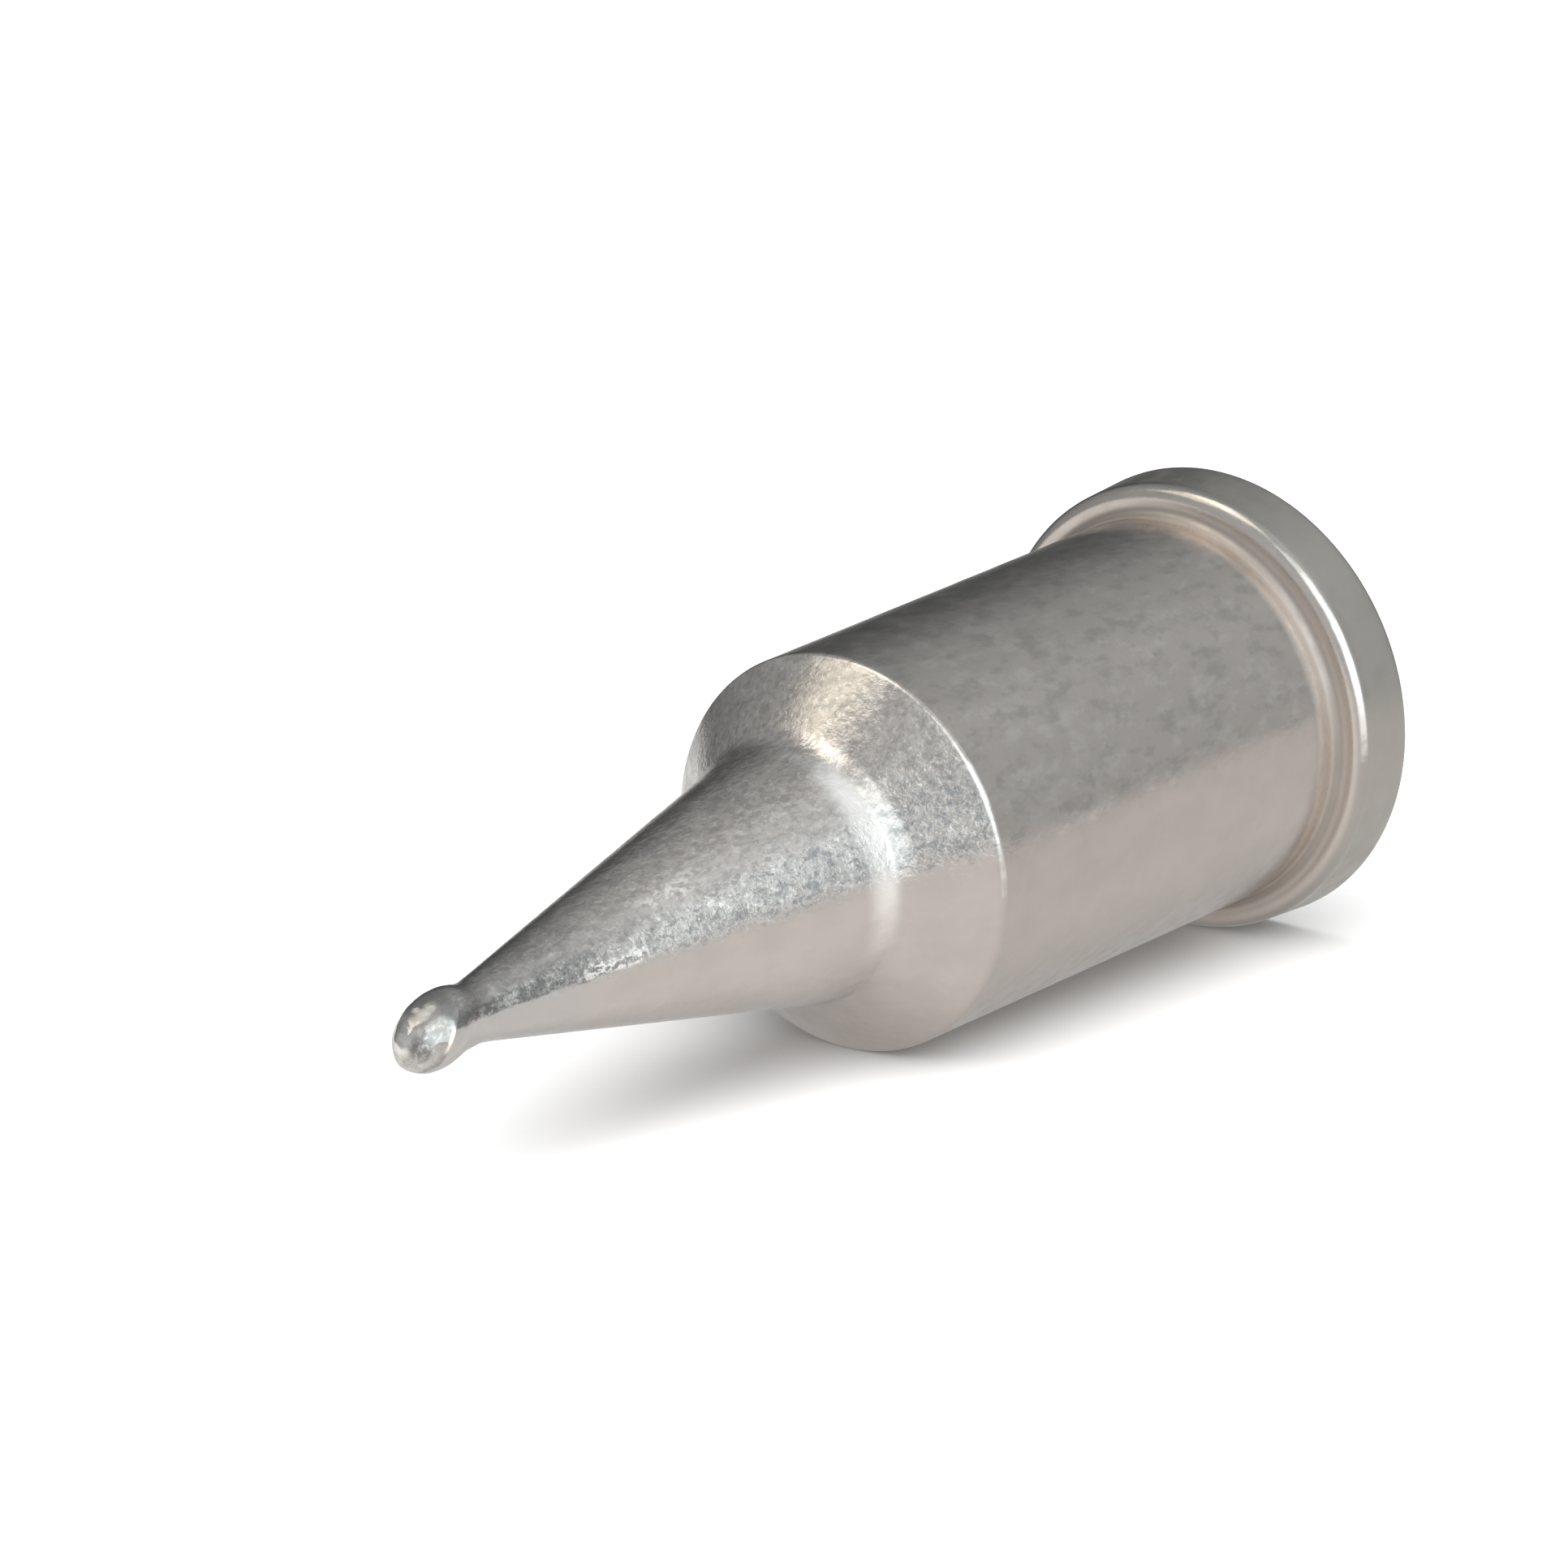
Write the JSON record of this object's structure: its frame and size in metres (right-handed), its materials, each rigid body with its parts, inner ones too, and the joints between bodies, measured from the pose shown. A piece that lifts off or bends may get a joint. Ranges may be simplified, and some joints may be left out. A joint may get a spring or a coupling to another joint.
{
  "type": "soldering iron tip",
  "caption": "Hollow-backed pencil soldering tip with a retaining flange, plain barrel, steep shoulder and long tapered nose ending in a solder bead.",
  "frame": {"origin": "centre of the flange's rear face, on which the tip stands", "axes": "+Z along the axis from the flange to the working end; the solder bead leans over towards +Y"},
  "size_m": [0.0076, 0.0076, 0.0208],
  "materials": {
    "plated_metal": "satin nickel plating on copper, mottled by heat, with a wet-looking bead of solder on the working end"
  },
  "bodies": {
    "root": {"soldering_tip": "plated_metal"}
  },
  "joints": []
}
